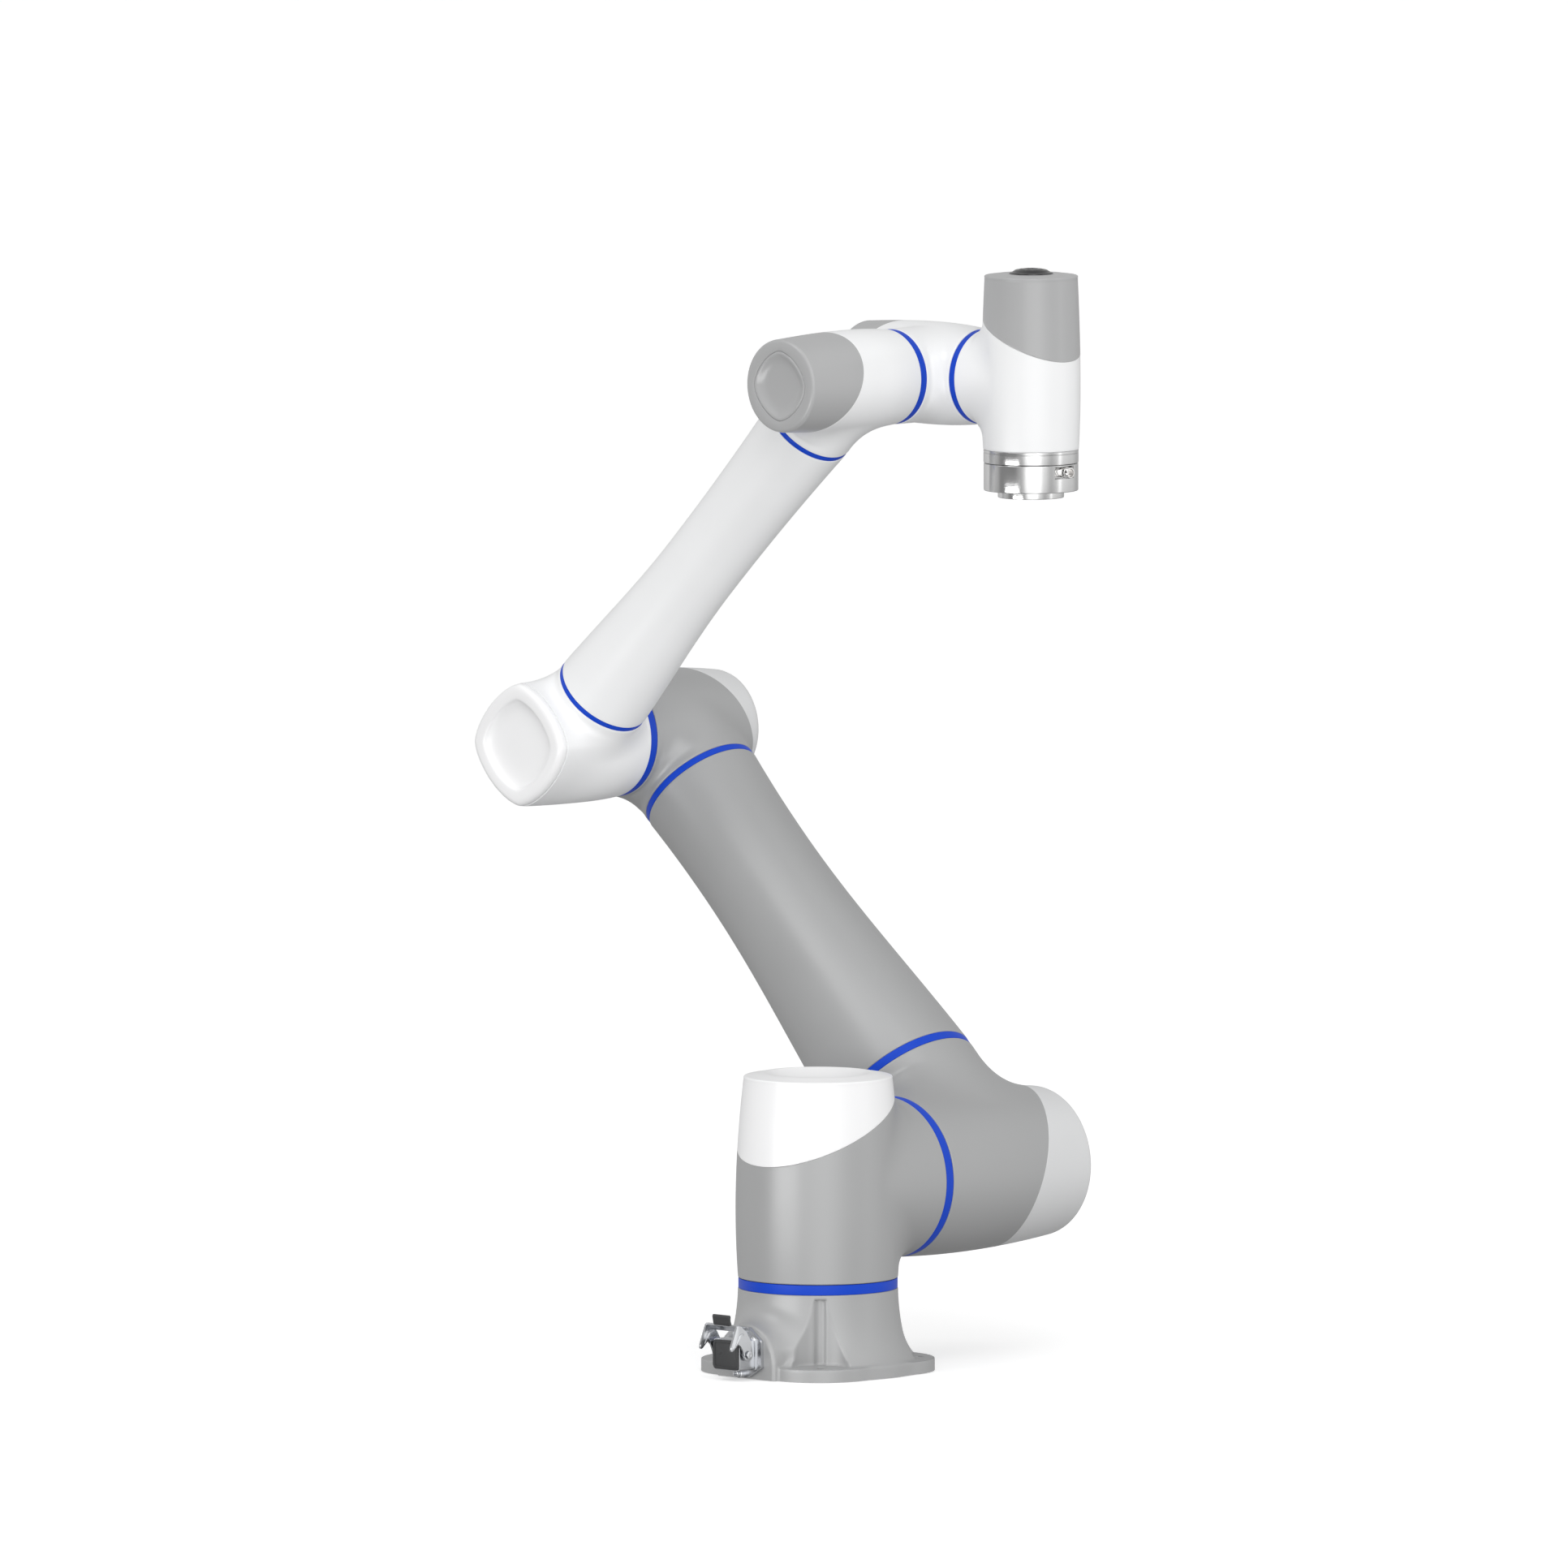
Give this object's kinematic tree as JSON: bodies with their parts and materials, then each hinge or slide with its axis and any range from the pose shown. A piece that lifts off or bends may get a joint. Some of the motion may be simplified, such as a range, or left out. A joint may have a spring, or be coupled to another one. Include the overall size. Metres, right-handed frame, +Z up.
{
  "type": "collaborative robot arm",
  "caption": "Serial collaborative robot arm on a square bolted base, with capped joint housings, waisted link tubes, seal rings at every joint and a round tool flange.",
  "frame": {"origin": "centre of the base mounting face, where the axis of joint 1 meets the floor", "axes": "+Z up along the axis of joint 1; joints 2, 3 and 4 turn about lines along +Y, towards the side the upper arm is mounted on; the cable socket faces -Y"},
  "size_m": [0.6043, 0.4511, 1.0429],
  "materials": {
    "grey_casting": "satin",
    "white_casting": "satin",
    "white_cap": "satin",
    "pale_cap": "satin",
    "grey_cap": "satin",
    "blue_seal": "satin",
    "bare_metal": "polished",
    "plated_metal": "polished",
    "plated_brass": "polished",
    "black_plastic": "matte",
    "black_gloss": "gloss",
    "gear_steel": "satin",
    "motor_core": "satin"
  },
  "bodies": {
    "base": {"base_casting": "grey_casting", "base_seal_ring": "blue_seal", "connector_shell": "bare_metal", "connector_insert": "black_plastic", "connector_cover": "black_plastic", "connector_screws": "plated_metal", "j1_output": "gear_steel"},
    "lever": {"connector_lever": "plated_metal"},
    "shoulder": {"shoulder_housing": "grey_casting", "shoulder_cap": "white_cap", "shoulder_seal_ring": "blue_seal", "j1_spline": "gear_steel", "j1_stator": "motor_core", "j2_output": "gear_steel"},
    "upper_arm": {"upper_arm_housing": "grey_casting", "upper_arm_cap": "pale_cap", "upper_arm_lower_ring": "blue_seal", "upper_arm_tube": "grey_casting", "upper_arm_upper_ring": "blue_seal", "elbow_housing": "grey_casting", "elbow_cap": "pale_cap", "j2_spline": "gear_steel", "j2_stator": "motor_core", "j3_spline": "gear_steel", "j3_stator": "motor_core"},
    "forearm": {"elbow_seal_ring": "blue_seal", "j3_output": "gear_steel", "forearm_housing": "white_casting", "forearm_cap": "white_cap", "forearm_lower_ring": "blue_seal", "forearm_tube": "white_casting", "forearm_upper_ring": "blue_seal", "wrist_1_housing": "white_casting", "wrist_1_cap": "grey_cap", "j4_spline": "gear_steel", "j4_stator": "motor_core"},
    "wrist_2": {"wrist_1_seal_ring": "blue_seal", "j4_output": "gear_steel", "wrist_2_housing": "white_casting", "wrist_2_cap": "grey_cap", "j5_spline": "gear_steel", "j5_stator": "motor_core"},
    "wrist_3": {"wrist_2_seal_ring": "blue_seal", "j5_output": "gear_steel", "wrist_3_housing": "white_casting", "wrist_3_cap": "grey_cap", "wrist_3_end_ring": "bare_metal", "button_bezel": "black_gloss", "j6_spline": "gear_steel", "j6_stator": "motor_core"},
    "button": {"guide_button": "black_gloss"},
    "tool": {"tool_flange": "bare_metal", "tool_socket": "plated_brass", "j6_output": "gear_steel"},
    "rotor_1": {"j1_rotor": "gear_steel"},
    "rotor_2": {"j2_rotor": "gear_steel"},
    "rotor_3": {"j3_rotor": "gear_steel"},
    "rotor_4": {"j4_rotor": "gear_steel"},
    "rotor_5": {"j5_rotor": "gear_steel"},
    "rotor_6": {"j6_rotor": "gear_steel"}
  },
  "joints": [
    {"name": "j1_base", "type": "hinge", "parent": "base", "child": "shoulder", "pos_m": [0, 0, 0.084], "axis": [0, 0, 1], "range_deg": [-360, 360]},
    {"name": "j2_shoulder", "type": "hinge", "parent": "shoulder", "child": "upper_arm", "pos_m": [0, 0.102, 0.1765], "axis": [0, 1, 0], "range_deg": [-360, 360]},
    {"name": "j3_elbow", "type": "hinge", "parent": "upper_arm", "child": "forearm", "pos_m": [-0.39386, 0.127, 0.57036], "axis": [0, 1, 0], "range_deg": [-240, 55]},
    {"name": "j4_wrist", "type": "hinge", "parent": "forearm", "child": "wrist_2", "pos_m": [-0.02758, 0.128, 0.93664], "axis": [0, 1, 0], "range_deg": [-360, 360]},
    {"name": "j5_wrist", "type": "hinge", "parent": "wrist_2", "child": "wrist_3", "pos_m": [0.03602, 0.191, 0.93664], "axis": [1, 0, 0], "range_deg": [-360, 360]},
    {"name": "j6_tool", "type": "hinge", "parent": "wrist_3", "child": "tool", "pos_m": [0.09742, 0.191, 0.82524], "axis": [0, 0, 1], "range_deg": [-360, 360]},
    {"name": "lever_hinge", "type": "hinge", "parent": "base", "child": "lever", "pos_m": [0, -0.1176, 0.0252], "axis": [1, 0, 0], "range_deg": [-25, 50]},
    {"name": "button_push", "type": "slide", "parent": "wrist_3", "child": "button", "axis": [0, 0, -1], "range_m": [0, 0.0015], "stiffness_N_per_m": 900},
    {"name": "rotor_1_spin", "type": "hinge", "parent": "shoulder", "child": "rotor_1", "pos_m": [0, 0, 0.089], "axis": [0, 0, 1], "range_deg": [-36100, 36100]},
    {"name": "rotor_2_spin", "type": "hinge", "parent": "upper_arm", "child": "rotor_2", "pos_m": [0, 0.107, 0.1765], "axis": [0, 1, 0], "range_deg": [-36100, 36100]},
    {"name": "rotor_3_spin", "type": "hinge", "parent": "upper_arm", "child": "rotor_3", "pos_m": [-0.39386, 0.1315, 0.57036], "axis": [0, 1, 0], "range_deg": [-5600, 24100]},
    {"name": "rotor_4_spin", "type": "hinge", "parent": "forearm", "child": "rotor_4", "pos_m": [-0.02758, 0.124, 0.93664], "axis": [0, 1, 0], "range_deg": [-36100, 36100]},
    {"name": "rotor_5_spin", "type": "hinge", "parent": "wrist_2", "child": "rotor_5", "pos_m": [0.03252, 0.191, 0.93664], "axis": [1, 0, 0], "range_deg": [-36100, 36100]},
    {"name": "rotor_6_spin", "type": "hinge", "parent": "wrist_3", "child": "rotor_6", "pos_m": [0.09742, 0.191, 0.85854], "axis": [0, 0, 1], "range_deg": [-36100, 36100]}
  ],
  "couplings": [
    {"joint": "rotor_1_spin", "follows": "j1_base", "ratio": 100},
    {"joint": "rotor_2_spin", "follows": "j2_shoulder", "ratio": 100},
    {"joint": "rotor_3_spin", "follows": "j3_elbow", "ratio": -100},
    {"joint": "rotor_4_spin", "follows": "j4_wrist", "ratio": -100},
    {"joint": "rotor_5_spin", "follows": "j5_wrist", "ratio": -100},
    {"joint": "rotor_6_spin", "follows": "j6_tool", "ratio": -100}
  ]
}
